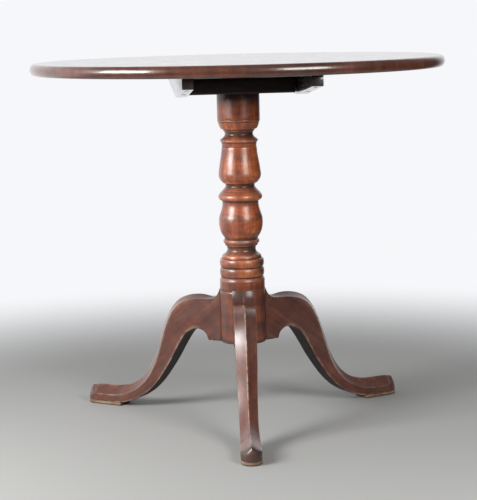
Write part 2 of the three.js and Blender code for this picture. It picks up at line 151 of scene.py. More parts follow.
def mahogany(name, tones, grain=(0, 0, 0), seed=0.0, bands=55, figure=0.35, gloss=0.34, coat=0.6,
             coat_rough=0.13, dust=0.0, worn=(0.42, 0.24, 0.16), worn_amount=0.7, underside=False,
             film=0.0, low_shade=1.0):
    """Polished mahogany.

    Grain runs along X after turning by the grain angles, and tones go from dark to light. More bands make
    a finer figure. Film is old wax, dust lies on what looks up, and worn is the colour of rubbed edges.
    """
    look = Look(name)
    turned_coords = look.add("ShaderNodeMapping", {
        "Vector": look.object_coords(), "Rotation": grain, "Location": (seed, seed * 0.7, seed * 1.3),
    }).outputs[0]
    wander = look.noise(look.stretched(turned_coords, (2.2, 7, 7)), detail=1)
    offset = look.add("ShaderNodeCombineXYZ", {
        "Y": look.span(wander, 0.2, 0.8, -0.012, 0.012), "Z": look.span(wander, 0.2, 0.8, 0.009, -0.009),
    }).outputs[0]
    coords = look.add("ShaderNodeVectorMath", {0: turned_coords, 1: offset}).outputs[0]

    band = look.noise(look.stretched(coords, (3.2, bands, bands)), detail=4, roughness=0.62)
    broad = look.noise(look.stretched(coords, (1.6, 13, 13), (3, 1, 2)), detail=2)
    fibre = look.noise(look.stretched(coords, (16, 420, 420)), detail=3, roughness=0.65)
    fleck = look.noise(look.stretched(coords, (38, 900, 900), (1, 5, 2)), detail=1)
    mottle = look.noise(look.stretched(coords, (52, 15, 15), (4, 2, 7)), detail=2, distortion=0.6)
    cloud = look.noise(coords, scale=11, detail=3)

    value = look.maths("MULTIPLY", band, 0.50)
    value = look.maths("MULTIPLY_ADD", broad, 0.30, value)
    value = look.maths("MULTIPLY_ADD", fibre, 0.20, value)
    value = look.maths("MULTIPLY_ADD", look.span(mottle, 0.3, 0.7, -0.5, 0.5), figure * 0.30, value)
    dark, middle, light = tones
    colour = look.ramp(look.span(value, 0.30, 0.70), [(0.0, dark), (0.5, middle), (1.0, light)])
    pores = look.span(fleck, 0.60, 0.70, 0.0, 0.55)
    colour = look.mix(pores, colour, rgb(*(c * 0.35 for c in dark)))
    tint = look.ramp(look.span(cloud, 0.3, 0.7), [(0.0, (0.72, 0.66, 0.62)), (1.0, (1.22, 1.24, 1.25))])
    colour = look.mix(0.75, colour, tint, "MULTIPLY")

    rough = look.span(look.noise(coords, scale=24, detail=4), 0.3, 0.7, gloss - 0.06, gloss + 0.12)
    rough = look.maths("MULTIPLY_ADD", pores, 0.25, rough)

    if film:
        # A thin grey film of old wax, patchy along the grain.
        haze = look.noise(look.stretched(coords, (6, 26, 26), (8, 3, 1)), detail=5, roughness=0.7)
        amount = look.span(haze, 0.46, 0.72, 0.0, film)
        colour = look.mix(amount, colour, rgb(0.30, 0.255, 0.235))
        rough = look.maths("MULTIPLY_ADD", amount, 0.4, rough)
    if dust:
        up = look.add("ShaderNodeSeparateXYZ", {0: look.add("ShaderNodeNewGeometry").outputs["Normal"]})
        patch = look.span(look.noise(coords, scale=60, detail=4), 0.35, 0.65, 0.35, 1.0)
        lying = look.maths("MULTIPLY", look.span(up.outputs[2], 0.25, 0.8, 0, dust), patch)
        colour = look.mix(lying, colour, rgb(0.33, 0.27, 0.235))
        rough = look.maths("MULTIPLY_ADD", lying, 0.5, rough)

    if low_shade < 1:
        # Painted shade: the pillar's colour darkens towards its foot, where less light reaches.
        low = look.span(look.height(), *LOW_SHADE_HEIGHTS, smooth=True)
        colour = look.mix(low, colour, rgb(low_shade, low_shade, low_shade), "MULTIPLY")

    wear = look.attribute("wear")
    rub = look.span(look.noise(coords, scale=55, detail=5, roughness=0.75), 0.42, 0.60, 0.12, 1.0)
    colour = look.mix(look.maths("MULTIPLY", wear, look.maths("MULTIPLY", rub, worn_amount)),
                      colour, rgb(*worn))
    # Painted shade: this mask darkens the colour nearly to black in hollows, on the legs' undersides, ears
    # and toes and close under the block; in the pillar's hollows part of it is real dirt.
    shade_and_dirt = look.attribute("shade_and_dirt")
    shade_breakup = look.span(look.noise(coords, scale=80, detail=3), 0.3, 0.7, 0.7, 1.0)
    shade_and_soil = look.maths("MULTIPLY", shade_and_dirt, shade_breakup, clamp=True)
    colour = look.mix(shade_and_soil, colour, rgb(0.010, 0.006, 0.005))
    rough = look.maths("MULTIPLY_ADD", shade_and_soil, 0.35, rough, clamp=True)

    if underside:
        # Below, the board was never polished: dry, dusty wood.
        below = look.span(look.height(), (TOP_UNDERSIDE + 1.0) * MM, (TOP_UNDERSIDE + 0.2) * MM)
        dry = look.mix(look.span(value, 0.3, 0.7), rgb(0.030, 0.015, 0.010), rgb(0.105, 0.052, 0.032))
        colour = look.mix(below, colour, dry)
        rough = look.maths("MULTIPLY_ADD", below, 0.4, rough, clamp=True)

    look.set(Base_Color=colour, Roughness=rough, Coat_Weight=coat, Coat_Roughness=coat_rough)
    look.set(Coat_IOR=1.5, IOR=1.47)
    look.bump(look.maths("MULTIPLY_ADD", fibre, 0.5, look.maths("MULTIPLY", pores, -1.0)), 0.25, 0.0002)
    return look.material


def dull_wood(name, dark, light, grain=(0, 0, 0)):
    """Dry wood without polish."""
    look = Look(name)
    coords = look.add("ShaderNodeMapping", {"Vector": look.object_coords(), "Rotation": grain}).outputs[0]
    band = look.noise(look.stretched(coords, (9, 160, 160)), detail=4, roughness=0.65)
    fibre = look.noise(look.stretched(coords, (30, 700, 700)), detail=2)
    value = look.maths("MULTIPLY_ADD", fibre, 0.4, look.maths("MULTIPLY", band, 0.6))
    look.set(Base_Color=look.ramp(look.span(value, 0.3, 0.7), [(0, dark), (1, light)]),
             Roughness=look.span(band, 0.3, 0.7, 0.5, 0.75))
    look.bump(value, 0.3, 0.0003)
    return look.material


def old_metal(name, bright, tarnish, blackened, metallic, rough_low, rough_high, pitting):
    """Metal with cloudy tarnish, dark spots and pits, brighter on its edges."""
    look = Look(name)
    coords = look.object_coords()
    cloud = look.noise(coords, scale=90, detail=5, roughness=0.65)
    spots = look.span(look.noise(coords, scale=420, detail=3), 0.56, 0.66)
    colour = look.ramp(look.span(cloud, 0.32, 0.68), [(0.0, tarnish), (0.55, bright), (1.0, tarnish)])
    colour = look.mix(look.maths("MULTIPLY", spots, 0.6), colour, rgb(*blackened))
    edge = look.attribute("wear")
    colour = look.mix(look.maths("MULTIPLY", edge, 0.5), colour, rgb(*(min(1, c * 1.5) for c in bright)))
    rough = look.span(cloud, 0.3, 0.7, rough_low, rough_high)
    look.set(Base_Color=colour, Metallic=metallic, Roughness=look.maths("MULTIPLY_ADD", spots, 0.15, rough))
    look.bump(look.maths("MULTIPLY_ADD", spots, -1.0, cloud), pitting, 0.0003)
    return look.material


def pad_leather(name):
    """Worn hard leather: tan, scuffed pale above, and with a painted shadow darkening it towards the floor.
    """
    look = Look(name)
    coords = look.object_coords()
    grain = look.add("ShaderNodeTexVoronoi", {"Vector": coords, "Scale": 620.0}).outputs["Distance"]
    scuff = look.noise(look.stretched(coords, (60, 60, 260)), detail=5, roughness=0.7)
    cloud = look.noise(coords, scale=38, detail=4)
    colour = look.ramp(look.span(cloud, 0.3, 0.7),
                       [(0.0, (0.12, 0.062, 0.034)), (0.5, (0.24, 0.14, 0.085)), (1.0, (0.36, 0.25, 0.17))])
    colour = look.mix(look.span(scuff, 0.52, 0.70, 0.0, 0.7), colour, rgb(0.45, 0.37, 0.29))
    # Painted shadow along the pad's lowest few millimetres.
    low = look.span(look.height(), 0.0034, 0.0006, 0.0, 0.85, smooth=True)
    colour = look.mix(low, colour, rgb(0.022, 0.016, 0.013))
    layers = look.add("ShaderNodeTexWave", {"Vector": look.stretched(coords, (0, 0, 1)), "Scale": 75.0},
                      wave_type="BANDS", bands_direction="Z").outputs["Fac"]
    colour = look.mix(look.span(layers, 0.75, 1.0, 0.0, 0.35), colour, rgb(0.05, 0.03, 0.02))
    look.set(Base_Color=colour, Roughness=look.span(scuff, 0.3, 0.7, 0.55, 0.85))
    look.bump(look.maths("MULTIPLY_ADD", scuff, 0.6, grain), 0.35, 0.0004)
    return look.material


# Turns that bring the grain, which runs along X, along each piece.
LEG_GRAIN = (0, math.radians(-38), 0)
UPRIGHT = (0, math.radians(90), 0)
ACROSS = (0, 0, math.radians(90))

TOP_TONES = ((0.030, 0.008, 0.005), (0.088, 0.025, 0.014), (0.170, 0.053, 0.029))
PILLAR_TONES = ((0.036, 0.007, 0.003), (0.270, 0.052, 0.011), (0.650, 0.185, 0.042))
LEG_TONES = ((0.040, 0.010, 0.006), (0.106, 0.025, 0.012), (0.215, 0.060, 0.027))
# Painted shade: the block and the bearers, which lie in the shadow of the top, take near-black tones.
SHADED_TONES = ((0.006, 0.0035, 0.003), (0.018, 0.008, 0.007), (0.042, 0.020, 0.016))

top_wood = mahogany("top_mahogany", TOP_TONES, seed=1.7, bands=42, figure=0.5, gloss=0.30, coat=1.0,
                    coat_rough=0.16, film=0.05, underside=True, worn_amount=0.35)
pillar_wood = mahogany("pillar_mahogany", PILLAR_TONES, grain=UPRIGHT, seed=0.4, bands=75, figure=0.6,
                       gloss=0.48, coat=1.0, coat_rough=0.30, dust=0.10, film=0.03, low_shade=0.62)
leg_woods = {
    side: mahogany(f"leg_mahogany_{side}", LEG_TONES, grain=LEG_GRAIN, seed=2.3 + 0.9 * i, bands=70,
                   figure=0.3, gloss=0.42, coat=0.8, coat_rough=0.27, film=0.08, dust=0.04,
                   worn=(0.50, 0.36, 0.27), worn_amount=0.9)
    for i, side in enumerate(SIDES)
}
bearer_wood = mahogany("bearer_mahogany", SHADED_TONES, grain=ACROSS, seed=5.1, bands=60, gloss=0.38,
                       coat=1.0, coat_rough=0.14, film=0.06, worn=(0.16, 0.10, 0.08), worn_amount=0.6)
block_wood = mahogany("block_mahogany", SHADED_TONES, seed=6.3, bands=60, gloss=0.55, coat=0.1,
                      coat_rough=0.3, film=0.05, worn=(0.10, 0.06, 0.045), worn_amount=0.5)
oak = dull_wood("oak", (0.035, 0.018, 0.010), (0.13, 0.075, 0.042))
# Near-black dull wood, a painted shade for the legs' undersides.
shaded_underside_wood = dull_wood("underside_painted_shade", (0.006, 0.004, 0.0035), (0.028, 0.017, 0.013), LEG_GRAIN)
brass = old_metal("aged_brass", (0.56, 0.37, 0.13), (0.27, 0.16, 0.06), (0.05, 0.035, 0.02), 1.0,
                  0.22, 0.46, 0.10)
iron = old_metal("forged_iron", (0.085, 0.078, 0.074), (0.040, 0.032, 0.028), (0.13, 0.045, 0.02), 0.85,
                 0.42, 0.68, 0.35)
leather = pad_leather("pad_leather")


# ---------------------------------------------------------------- meshes

MASKS = ("wear", "shade_and_dirt")  # how rubbed a point is, and how much painted shade (partly real dirt in hollows) it takes, for the materials
WELD = 2e-6  # metres


def raw_mesh(name, vertices, faces):
    """A mesh from millimetre vertices."""
    mesh = bpy.data.meshes.new(name)
    mesh.from_pydata([tuple(c * MM for c in v) for v in vertices], [], faces)
    return mesh


def linked(name, data):
    """A new object in the scene."""
    obj = bpy.data.objects.new(name, data)
    bpy.context.scene.collection.objects.link(obj)
    return obj


def cleaned(mesh, sharp):
    """Welds a mesh, turns its faces outwards, and smooths all but its edges sharper than some degrees."""
    bm = bmesh.new()
    bm.from_mesh(mesh)
    bmesh.ops.remove_doubles(bm, verts=bm.verts, dist=WELD)
    bmesh.ops.dissolve_degenerate(bm, edges=bm.edges, dist=WELD / 2)
    bmesh.ops.recalc_face_normals(bm, faces=bm.faces)
    bm.to_mesh(mesh)
    bm.free()
    mesh.polygons.foreach_set("use_smooth", [True] * len(mesh.polygons))
    mesh.set_sharp_from_angle(angle=math.radians(sharp))
    mesh.update()


def registered(obj, material, body, replaces):
    """Gives a piece its material, puts it on its body and hides the CAD nodes it stands for."""
    obj.data.materials.clear()
    obj.data.materials.append(material)
    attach(obj, body)
    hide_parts(*replaces)
    return obj


def finished(name, vertices, faces, material, body, replaces, masks, sharp, place=None):
    """A piece from millimetre vertices and a value of each mask for every vertex."""
    mesh = raw_mesh(name, vertices, faces)
    for mask in MASKS:
        layer = mesh.attributes.new(mask, "FLOAT", "POINT")
        layer.data.foreach_set("value", np.asarray(masks[mask], np.float32))
    obj = linked(name, mesh)
    if place is not None:
        obj.matrix_world = place
    cleaned(mesh, sharp)
    return registered(obj, material, body, replaces)


def with_modifier(obj, kind, **settings):
    """Adds a modifier and applies it to the mesh at once."""
    modifier = obj.modifiers.new("step", kind)
    for key, value in settings.items():
        setattr(modifier, key, value)
    evaluated = obj.evaluated_get(bpy.context.evaluated_depsgraph_get())
    mesh = bpy.data.meshes.new_from_object(evaluated)
    obj.modifiers.clear()
    old = obj.data
    obj.data = mesh
    bpy.data.meshes.remove(old)


def through(points, steps):
    """A smooth centripetal curve through points, with a number of steps between each two."""
    pts = [np.array(p, float) for p in points]
    pts = [2 * pts[0] - pts[1], *pts, 2 * pts[-1] - pts[-2]]
    out = []
    for i in range(1, len(pts) - 2):
        p0, p1, p2, p3 = pts[i - 1:i + 3]
        t0 = 0.0
        t1 = t0 + max(1e-6, np.linalg.norm(p1 - p0)) ** 0.5
        t2 = t1 + max(1e-6, np.linalg.norm(p2 - p1)) ** 0.5
        t3 = t2 + max(1e-6, np.linalg.norm(p3 - p2)) ** 0.5
        for k in range(steps):
            t = t1 + (t2 - t1) * k / steps
            a1 = (t1 - t) / (t1 - t0) * p0 + (t - t0) / (t1 - t0) * p1
            a2 = (t2 - t) / (t2 - t1) * p1 + (t - t1) / (t2 - t1) * p2
            a3 = (t3 - t) / (t3 - t2) * p2 + (t - t2) / (t3 - t2) * p3
            b1 = (t2 - t) / (t2 - t0) * a1 + (t - t0) / (t2 - t0) * a2
            b2 = (t3 - t) / (t3 - t1) * a2 + (t - t1) / (t3 - t1) * a3
            out.append((t2 - t) / (t2 - t1) * b1 + (t - t1) / (t2 - t1) * b2)
    out.append(pts[-2])
    return [tuple(float(c) for c in p) for p in out]


def revolved(profile, segments):
    """Vertices, faces and rows of vertices of a solid turned from [radius, height] pairs."""
    vertices, faces, rows = [], [], []
    for radius, height in profile:
        if radius < 1e-6:
            rows.append([len(vertices)])
            vertices.append((0, 0, height))
            continue
        rows.append(list(range(len(vertices), len(vertices) + segments)))
        for i in range(segments):
            a = 2 * math.pi * i / segments
            vertices.append((radius * math.cos(a), radius * math.sin(a), height))
    for low, high in zip(rows, rows[1:]):
        for i in range(segments):
            j = (i + 1) % segments
            corners = [low[i % len(low)], low[j % len(low)], high[j % len(high)], high[i % len(high)]]
            faces.append(list(dict.fromkeys(corners)))
    return vertices, faces, rows


def ramped(value, start, end):
    """0 up to start, 1 from end on, and a straight slope between them."""
    return float(np.clip((value - start) / (end - start), 0, 1))


def relief(profile, reach, scale):
    """How far each point of a profile stands out from what is near it, in scales; hollows are negative."""
    step = 0.25
    points = np.array(profile, float)
    run = np.concatenate([[0], np.cumsum(np.linalg.norm(np.diff(points, axis=0), axis=1))])
    even = np.arange(0, run[-1], step)
    radius, height = np.interp(even, run, points[:, 0]), np.interp(even, run, points[:, 1])
    width = int(reach / step)
    kernel = np.ones(2 * width + 1) / (2 * width + 1)
    mean_r = np.convolve(np.pad(radius, width, mode="edge"), kernel, "valid")
    mean_h = np.convolve(np.pad(height, width, mode="edge"), kernel, "valid")
    slope_r, slope_h = np.gradient(radius), np.gradient(height)
    length = np.hypot(slope_r, slope_h) + 1e-9
    out = ((radius - mean_r) * slope_h - (height - mean_h) * slope_r) / length
    return np.interp(run, even, out) / scale


def hollows_and_edges(profile, scale):
    """For each point of a profile, how deep it lies in a hollow and how far it stands out, both 0 to 1."""
    fine = relief(profile, 3.2, scale)
    broad = relief(profile, 8.0, 3.0 * scale)
    hollow = np.clip(-fine, 0, 1) + 0.85 * np.clip(-broad - 0.1, 0, 1)
    return np.clip(hollow, 0, 1), np.clip(fine, 0, 1)


# ---------------------------------------------------------------- the pillar

def bead(radius, bulge, bottom, top, steps=14):
    """A rounded moulding that swells from a radius between two heights."""
    return [(radius + bulge * math.sin(math.pi * i / steps),
             (bottom + top) / 2 - (top - bottom) / 2 * math.cos(math.pi * i / steps))
            for i in range(steps + 1)]


def incised(radius, height, depth=0.7, half=0.9):
    """A fine groove cut round a cylinder."""
    return [(radius, height - half), (radius - depth, height), (radius, height + half)]


PILLAR_PROFILE = [
    (0, HUB_BOTTOM), (42.9, HUB_BOTTOM), (43.9, HUB_BOTTOM + 0.5), (44.2, HUB_BOTTOM + 1.6),
    *incised(44.2, 258.4), (44.2, 279.6), (43.6, 281), (42.6, 283.4), (41.3, 284.9), (40.6, 285.4),
    *bead(41, 2.6, 286, 303.5), (40.2, 304.2),
    *bead(40.8, 2.75, 305, 321), (39.6, 321.6),
    *through([(38.9, 322.6), (38.7, 324.8), (37.9, 327.6)], 3), (37.4, 328.2),
    *through([(34.4, 329.8), (31.6, 331.9), (28.6, 336), (27.8, 340.3), (28.8, 344.3), (32.2, 347.6)], 4),
    (32.5, 349.6), (33.2, 350.8),
    *bead(33.2, 2.3, 351.2, 358.8, 10), (32.4, 359.4),
    *through([(32.5, 360.6), (34, 364), (36.9, 368), (40.6, 376), (42.3, 384), (43, 392), (42.9, 396.5),
              (41.9, 403.6), (39.4, 411.5), (37.1, 419), (35.5, 427), (35.5, 433.4)], 4),
    (35.9, 434.4),
    *through([(36.9, 435.2), (40.4, 437.2), (42.4, 439.8), (43.0, 442.4), (42.5, 445), (41.2, 447.6),
              (39.3, 449.8)], 3),
    (38.6, 451.2), (36.0, 453.2),
    *through([(35.1, 454.8), (31.5, 458.8), (28.4, 462.9), (28.9, 467), (33.6, 470.2)], 4),
    (34.4, 470.6),
    *through([(35, 471.4), (37, 474.1), (39.8, 478.2), (41.5, 485), (40.7, 494), (38.4, 510), (35.8, 525),
              (34.1, 539.8)], 4),
    *incised(33.8, 541.4, 0.8, 0.8), (33.8, 544), (34.5, 548.4),
    *through([(34.6, 549), (36.2, 550.4), (37.2, 552.6), (36.2, 554.6)], 3),
    *through([(34.2, 556.2), (31, 558.6), (28.2, 562), (27.3, 565), (28.2, 569.0), (30.2, 571.2)], 4),
    (30.6, 572.2), (31.4, 573.6), (35.4, 575.4),
    *through([(36, 576.2), (37.8, 580), (39.6, 585.4), (40.4, 587.6)], 3),
    (39.9, 588.6), (41.4, 590), (41.6, 591.6), *incised(41.6, 593.6, 0.5, 0.7),
    (41.6, SHOULDER), (TENON_RADIUS, SHOULDER), (TENON_RADIUS, TENON_END), (0, TENON_END),
]


def densely(profile, longest=4.0):
    """The profile with extra points, so that no side of it is longer than a few millimetres."""
    out = [profile[0]]
    for (r0, z0), (r1, z1) in zip(profile, profile[1:]):
        parts = max(1, math.ceil(math.hypot(r1 - r0, z1 - z0) / longest))
        out += [(r0 + (r1 - r0) * k / parts, z0 + (z1 - z0) * k / parts) for k in range(1, parts + 1)]
    return out


def turned_piece(name, profile, segments, material, body, replaces, mask_scale=0.55, sharp=40,
                 extra_dark=lambda height: 0.0):
    """A turned piece, worn where its profile stands out, with painted shade and some real dirt in its
    hollows, and darkened by height where its given function says.
    """
    vertices, faces, rows = revolved(profile, segments)
    hollow, edge = hollows_and_edges(profile, scale=mask_scale)
    wear, shade_and_dirt = np.zeros(len(vertices)), np.zeros(len(vertices))
    for row, h, e, (_, height) in zip(rows, hollow, edge, profile):
        wear[row], shade_and_dirt[row] = e, max(h, extra_dark(height))
    return finished(name, vertices, faces, material, body, replaces,
                    {"wear": wear, "shade_and_dirt": shade_and_dirt}, sharp)


def pillar_shadow_and_foot_dark(height):
    """A painted shadow of the top and block close under the block, and a darkening of the lowest few
    millimetres of the hub.
    """
    foot = 0.8 * ramped(height, HUB_BOTTOM + 8, HUB_BOTTOM + 5)
    # Painted shadow of the top and the block on the pillar's head.
    head = ramped(height, 610, 636) if height <= SHOULDER else 0.0
    return max(foot, head)


turned_piece("turned_pillar", densely(PILLAR_PROFILE), 128, pillar_wood, "stand", ["pillar"],
             extra_dark=pillar_shadow_and_foot_dark)

# ---------------------------------------------------------------- the legs

# The leg's upper outline where it climbs the hub, as reach and height.
EAR_CURVE = through([(38, 264), (41, 257.4), (43, 252.8), (45.5, 248.4), (48.5, 244.9), (52.5, 241.6),
                     (57, 239.3), (62, 238.0), (68, 237.5)], 6)
# Reach and height of the upper outline, the same of the lower one, half the thickness, and the ridge.
ROOT_REACH, ROOT_RIDGE = 57, 0.4
LEG_STATIONS = [
    (ROOT_REACH, 239.3, ROOT_REACH, HUB_BOTTOM, LEG_HALF, ROOT_RIDGE),
    (62, 238, 62, HUB_BOTTOM, LEG_HALF, 0.9), (68, 237.5, 68, HUB_BOTTOM, LEG_HALF, 2),
    (84, 236.7, 72, 164.5, LEG_HALF, 6.5), (104, 234.4, 80, 172.3, LEG_HALF, 9),
    (122, 229.4, 90, 176, LEG_HALF, 10.5), (138, 220.6, 101, 175.4, LEG_HALF, 12),
    (151, 206.5, 111, 170.6, LEG_HALF, 13),
    (162, 187.5, 120, 165, 20.8, 13.5), (171, 165, 131, 150.5, 20.5, 14.5),
    (179.5, 140, 144.5, 129, 20, 15), (188, 115.5, 158, 106, 19.2, 14.5),
    (198, 92, 175.5, 80.5, 18.4, 15), (213, 67.5, 195, 55.5, 17.9, 15), (231, 48.5, 220, 32.5, 17.5, 15),
    (252, 34.5, 246, 17.5, 17.8, 15.5), (274, 26, 270, 9.5, 18.6, 17),
    (292, 22.5, 291, SOLE, 19.2, 17.5), (318, 21.3, 318, SOLE, 19.5, 18.2),
    (TOE_START, 21.8, TOE_START, SOLE, 19.3, 16.8),
]
# A section's points: a rounded arris below, the side, the roof from its arris to the ridge, the underside.
ARRIS, ARRIS_STEPS = 1.8, 3
SIDE_ROWS = 8
ROOF = (0.0, 0.04, 0.1, 0.25, 0.42, 0.58, 0.73, 0.85, 0.92, 0.97, 1.0)
ROOF_WEAR = {0.0: 0.35, 0.04: 0.1, 0.92: 0.2, 0.97: 0.7, 1.0: 1.0}
BOTTOM = (0.75, 0.4, 0.0, -0.4, -0.75)
ROOT_STEPS = 7
TOE_ROWS = 10
TOE_BROW = 11.0  # how far the ridge runs on before the toe begins to fall
TOE_DROP = 2.6  # how far it comes down over that
TOE_SQUARENESS = 0.75  # 1 is a quarter of an ellipse, and less is squarer
TOE_INSET = 0.2  # the toe ends just inside its pad
# Painted shade on the legs' undersides.
UNDERSIDE_SHADE = 0.9
SHADED_FACE_OVER = 0.85  # a face with more painted shade than this gets the near-black underside wood


def section(half, height, ridge, arris, hollow):
    """One ring of a leg, as [side, rise] pairs, and the wear on each: up the -side, over, down, under."""
    points, wear = [], []
    arris = min(arris, height * 0.4)
    for k in range(ARRIS_STEPS + 1):
        a = math.pi / 2 * k / ARRIS_STEPS
        points.append((-half + arris * (1 - math.sin(a)), arris * (1 - math.cos(a))))
        wear.append(0.5 * math.sin(a))
    for k in range(1, SIDE_ROWS):
        points.append((-half, arris + (height - arris) * k / SIDE_ROWS))
        wear.append(0.0)
    for share in ROOF:
        rise = ridge * (share - hollow * math.sin(math.pi * share))
        points.append((-half * (1 - share), height + rise))
        wear.append(ROOF_WEAR.get(share, 0.0))
    whole = points + [(-side, rise) for side, rise in reversed(points[:-1])]
    wears = wear + list(reversed(wear[:-1]))
    for share in BOTTOM:
        whole.append((share * (half - arris), 0.0))
        wears.append(0.0)
    return whole, wears


def ear_height(reach):
    """The height of the leg's upper outline near the hub."""
    return float(np.interp(reach, [p[0] for p in EAR_CURVE], [p[1] for p in EAR_CURVE]))


def root_shade(rise, share):
    """Painted shade and dark reflection on the ear's top, against the hub and below the root, for a ring
    that share of the way out.
    """
    if rise > 0.99:
        return 0.78
    if share == 0:
        return 0.85
    return 0.8 if rise < 0.01 else 0.0


def leg_rings():
    """The leg's rings from hub to toe, in a frame with the leg along X, with the wear and the painted shade
    on each.
    """
    rings, wears, shades = [], [], []
    # Near the hub the rings run from its round face to the first upright station.
    side_face = math.sqrt(LEG_SHOULDER ** 2 - LEG_HALF ** 2)
    outline, wear = section(LEG_HALF, 1.0, 0.0, 0.0, 0)
    for step in range(ROOT_STEPS):
        share = step / ROOT_STEPS
        ear = ear_height(side_face + (ROOT_REACH - side_face) * share)
        ring = []
        for side, rise in outline:
            face = math.sqrt(LEG_SHOULDER ** 2 - side ** 2)
            top = ear + ROOT_RIDGE * (1 - abs(side) / LEG_HALF) * share
            ring.append((face + (ROOT_REACH - face) * share, side, HUB_BOTTOM + rise * (top - HUB_BOTTOM)))
        rings.append(ring)
        wears.append([w * min(1, share * 3) for w in wear])
        shades.append([root_shade(rise, share) for _, rise in outline])
    for upper_reach, upper_z, lower_reach, lower_z, half, ridge in through(LEG_STATIONS, 5):
        depth = math.hypot(upper_reach - lower_reach, upper_z - lower_z)
        along = ((upper_reach - lower_reach) / depth, (upper_z - lower_z) / depth)
        arris = ARRIS * ramped(lower_reach, 300, 260)
        hollow = 0.035 + 0.03 * ramped(upper_reach, 200, 320)
        outline, wear = section(half, depth, ridge, arris, hollow)
        rings.append([(lower_reach + along[0] * rise, side, lower_z + along[1] * rise)
                      for side, rise in outline])
        rubbed = ramped(upper_reach, 95, 140) - 0.5 * ramped(upper_reach, 200, 260)
        foot = ramped(upper_reach, 250, 290)
        wears.append([w * (rubbed + 1.6 * foot * (rise < depth + 1)) + 0.04 * foot * (rise > 2)
                      for w, (_, rise) in zip(wear, outline)])
        # Painted dark reflection and shade on the ear's top near the hub.
        ear_shade = 0.62 * ramped(upper_reach, 74, 60)
        below = 0.3 * arris + 0.01
        shades.append([UNDERSIDE_SHADE if rise < below else ear_shade if rise > depth - 0.01 else 0.0
                      for _, rise in outline])
    return rings, wears, shades


def leg_mesh(toe_shade):
    """Vertices, faces and masks of a leg along X."""
    rings, wears, shades = leg_rings()
    count = len(rings[0])
    vertices = [p for ring in rings for p in ring]
    wear = [w for ring in wears for w in ring]
    shade_and_dirt = [d for ring in shades for d in ring]
    faces = []
    for k in range(len(rings) - 1):
        for i in range(count):
            j = (i + 1) % count
            faces.append([k * count + i, k * count + j, (k + 1) * count + j, (k + 1) * count + i])
    faces.append(list(range(count)))

    # The toe: the roof runs on to a curved arris, and a bowed front face falls from it to the sole.
    last = (len(rings) - 1) * count
    first_roof = ARRIS_STEPS + SIDE_ROWS
    roof = [last + i for i in range(first_roof, first_roof + 2 * len(ROOF) - 1)]
    half = LEG_STATIONS[-1][4]
    grid = []
    for row in range(TOE_ROWS + 1):
        turn = math.pi / 2 * row / TOE_ROWS
        line = []
        for index in roof:
            _, side, high = vertices[index]
            share = 1 - abs(side) / half
            brow = TOE_START + TOE_BROW * share ** 1.3
            bow = math.sqrt(max(0.0, 1 - (side / half) ** 2))
            front = TOE_START + (TOE_REACH - TOE_INSET - TOE_START) * bow
            top = high - TOE_DROP * share
            reach = brow + (front - brow) * math.sin(turn) ** TOE_SQUARENESS
            height = SOLE + (top - SOLE) * max(0.0, math.cos(turn)) ** TOE_SQUARENESS
            if share < 1e-6:
                height = top + (SOLE - top) * row / TOE_ROWS
            vertices.append((reach, side, height))
            wear.append(0.3 if row == 0 else 0.04)
            # Painted shade on the toe's front face, half of it on the brow.
            shade_and_dirt.append(toe_shade / 2 if row == 0 else toe_shade)
            line.append(len(vertices) - 1)
        grid.append(line)
    for upper, lower in zip([roof, *grid], grid):
        for i in range(len(roof) - 1):
            faces.append([upper[i], upper[i + 1], lower[i + 1], lower[i]])
    under = [last + i for i in range(count - len(BOTTOM), count)]
    faces.append([*grid[-1], *under])
    return vertices, faces, {"wear": wear, "shade_and_dirt": shade_and_dirt}


def leg_place(i):
    """Turns a leg or pad that was made along X to where leg i stands."""
    return Matrix.Rotation(-math.pi / 2 + LEG_TURN + i * 2 * math.pi / 3, 4, "Z")


for number, side in enumerate(SIDES):
    # The front leg's toe gets the most painted shade.
    leg_vertices, leg_faces, leg_masks = leg_mesh(toe_shade=0.72 if side == "front" else 0.3)
    leg = finished(f"cabriole_leg_{side}", leg_vertices, leg_faces, leg_woods[side], "stand",
                   [f"leg_{side}"], leg_masks, 30, leg_place(number))
    # The undersides were left unpolished.
    # Painted shade: the undersides get a near-black, unpolished wood.
    leg.data.materials.append(shaded_underside_wood)
    shade_values = leg.data.attributes["shade_and_dirt"].data
    for polygon in leg.data.polygons:
        if min(shade_values[v].value for v in polygon.vertices) > SHADED_FACE_OVER:
            polygon.material_index = 1

# ---------------------------------------------------------------- flat and edged pieces

BEVELLED_OVER = math.radians(40)
PAD_INNER, PAD_HALF, PAD_TOP = 283.0, 19.3, 7.0


def edged(name, outline, low, high, material, body, replaces, bevel, place):
    """An outline in X and Y raised between two heights, with rounded edges."""
    bm = bmesh.new()
    bottom = [bm.verts.new((x * MM, y * MM, low * MM)) for x, y in outline]
    face = bm.faces.new(bottom)
    raised = bmesh.ops.extrude_face_region(bm, geom=[face])
    for vertex in (v for v in raised["geom"] if isinstance(v, bmesh.types.BMVert)):
        vertex.co.z = high * MM
    bmesh.ops.recalc_face_normals(bm, faces=bm.faces)
    mesh = bpy.data.meshes.new(name)
    bm.to_mesh(mesh)
    bm.free()
    obj = linked(name, mesh)
    with_modifier(obj, "BEVEL", width=bevel * MM, segments=3, limit_method="ANGLE",
                  angle_limit=BEVELLED_OVER)
    obj.matrix_world = place
    cleaned(obj.data, 50)
    return registered(obj, material, body, replaces)


toe_curve = [(TOE_START + (TOE_REACH - TOE_START) * math.cos(a), PAD_HALF * math.sin(a))
             for a in (math.radians(-90 + 5 * k) for k in range(37))]
pad_outline = [(PAD_INNER, -PAD_HALF), *toe_curve, (PAD_INNER, PAD_HALF)]
for number, side in enumerate(SIDES):
    edged(f"leather_pad_{side}", pad_outline, 0.0, PAD_TOP, leather, "stand", [f"foot_pad_{side}"],
          0.9, leg_place(number))


